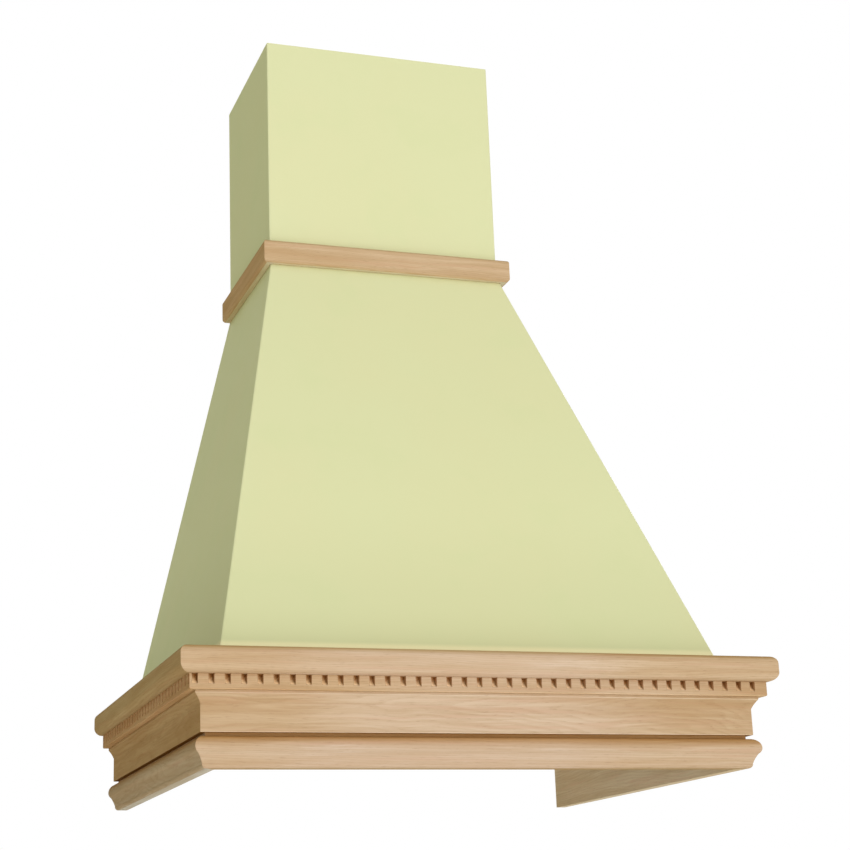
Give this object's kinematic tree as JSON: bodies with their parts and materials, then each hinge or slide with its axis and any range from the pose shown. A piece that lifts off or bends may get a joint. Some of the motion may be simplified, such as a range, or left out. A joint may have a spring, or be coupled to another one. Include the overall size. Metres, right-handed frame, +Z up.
{
  "type": "range hood cover",
  "caption": "Wall-hung cover for a kitchen range hood: painted chimney and tapering canopy over an oak base with cornice, dentils, frieze and lower rail, joined by an oak collar.",
  "frame": {"origin": "centre of the footprint, on the plane that the lower rail stands on", "axes": "+X to the right seen from the room, +Y towards the wall behind, +Z up"},
  "size_m": [0.6, 0.49, 0.873],
  "materials": {
    "paint": "satin pale pistachio paint on board",
    "oak": "pale, fine-sanded and unfinished",
    "plywood": "oak-faced plywood, sanded",
    "softwood": "planed pine",
    "beech": "planed beech",
    "screw_steel": "yellow-passivated zinc"
  },
  "bodies": {
    "root": {"chimney_front": "paint", "chimney_left": "paint", "chimney_right": "paint", "chimney_batten_left": "softwood", "chimney_batten_right": "softwood", "chimney_stretcher": "softwood", "chimney_screws": "screw_steel", "middle_frame_front": "softwood", "middle_frame_left": "softwood", "middle_frame_right": "softwood", "middle_frame_rear": "softwood", "middle_frame_screws": "screw_steel", "collar_front": "oak", "collar_left": "oak", "collar_right": "oak", "canopy_front": "paint", "canopy_left": "paint", "canopy_right": "paint", "canopy_batten_left": "softwood", "canopy_batten_right": "softwood", "hanging_rail": "softwood", "hanging_rail_dowels": "beech", "deck_front": "plywood", "deck_left": "plywood", "deck_right": "plywood", "deck_rear": "plywood", "deck_screws": "screw_steel", "carcass_front": "oak", "carcass_left": "oak", "carcass_right": "oak", "base_block_left": "softwood", "base_block_right": "softwood", "rear_rail": "softwood", "rear_rail_dowels": "beech", "cornice_front": "oak", "cornice_left": "oak", "cornice_right": "oak", "cornice_tongues": "beech", "dentil_strip_front": "oak", "dentil_strip_left": "oak", "dentil_strip_right": "oak", "frieze_front": "oak", "frieze_left": "oak", "frieze_right": "oak", "lower_rail_front": "oak", "lower_rail_left": "oak", "lower_rail_right": "oak", "lower_rail_tongues": "beech"}
  },
  "joints": []
}
